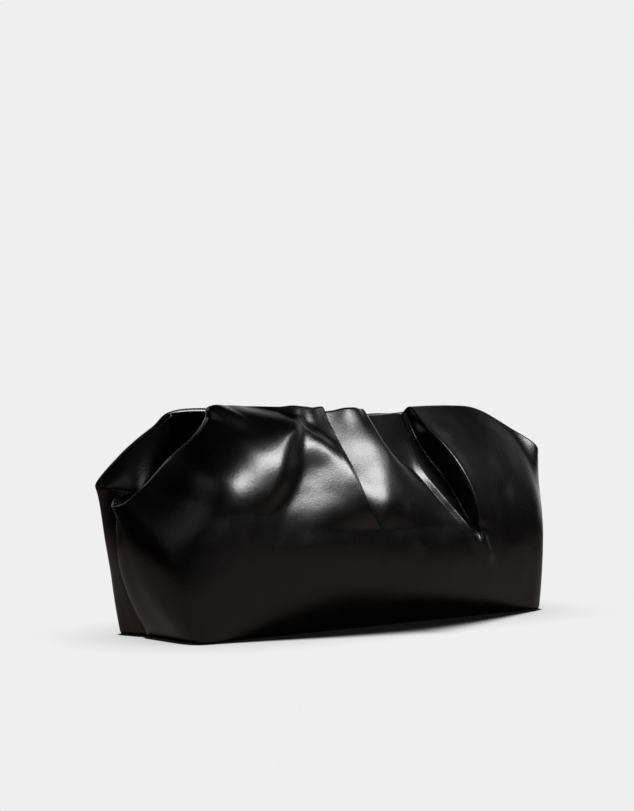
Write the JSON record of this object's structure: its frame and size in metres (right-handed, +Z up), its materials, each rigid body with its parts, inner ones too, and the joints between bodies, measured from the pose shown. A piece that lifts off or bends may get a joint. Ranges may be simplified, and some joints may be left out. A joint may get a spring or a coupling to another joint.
{
  "type": "clutch bag",
  "caption": "Soft gathered clutch bag of smooth black leather with a pleated front, folded-in ends and a flat base, open at its snap mouth.",
  "frame": {"origin": "on the surface that the bag stands on, under the middle of its box", "axes": "+Z up, +X along the bag to its right end, the gathered front faces -Y"},
  "size_m": [0.3612, 0.1162, 0.1506],
  "materials": {
    "leather": "smooth semi-gloss black leather with a fine grain",
    "facing": "smooth black leather, a little duller than the outside",
    "clasp": "plain dark metal snap"
  },
  "bodies": {
    "root": {"front_panel": "leather", "back_panel": "leather", "base_panel": "leather", "front_facing": "facing", "back_facing": "facing", "magnetic_clasp": "clasp"}
  },
  "joints": []
}
